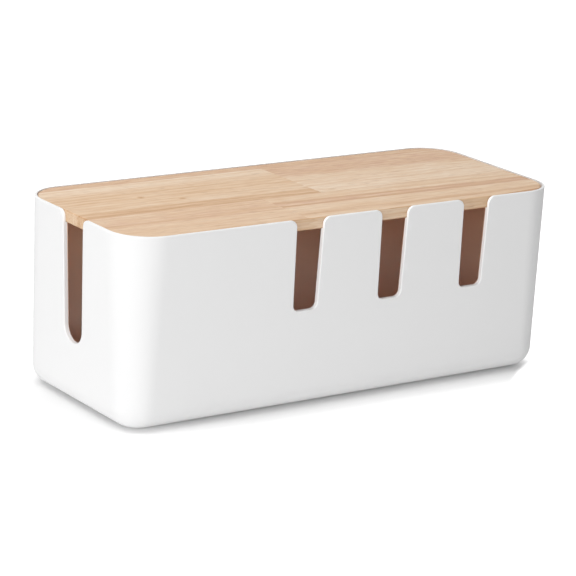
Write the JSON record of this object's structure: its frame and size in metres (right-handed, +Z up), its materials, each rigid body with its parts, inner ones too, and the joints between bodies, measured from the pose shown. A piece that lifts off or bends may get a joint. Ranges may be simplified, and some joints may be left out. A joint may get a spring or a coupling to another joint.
{
  "type": "cable management box",
  "caption": "Long low moulded box with round corners and cable slots down from its rim, closed by a loose wooden lid that sits inside the rim on a step and lifts off.",
  "frame": {"origin": "under the middle of the box, on the surface it rests on", "axes": "+X along the box, +Y from the long side with the slots to the plain long side, +Z up"},
  "size_m": [0.305, 0.123, 0.1143],
  "materials": {
    "white_moulding": "fine satin moulding",
    "pale_stave": "sanded and thinly oiled",
    "streaked_stave": "sanded and thinly oiled",
    "banded_stave": "sanded and thinly oiled",
    "rosy_stave": "sanded and thinly oiled",
    "dark_stave": "sanded and thinly oiled",
    "foot_rubber": "matte"
  },
  "bodies": {
    "box": {"tub": "white_moulding", "foot_front_left": "foot_rubber", "foot_front_right": "foot_rubber", "foot_back_left": "foot_rubber", "foot_back_right": "foot_rubber"},
    "lid": {"lid_stave_front_left": "pale_stave", "lid_stave_front_right": "streaked_stave", "lid_stave_middle_left": "banded_stave", "lid_stave_middle_right": "rosy_stave", "lid_stave_back": "dark_stave"}
  },
  "joints": [
    {"name": "lid_lift", "type": "slide", "parent": "box", "child": "lid", "axis": [0, 0, 1], "range_m": [0, 0.12]}
  ]
}
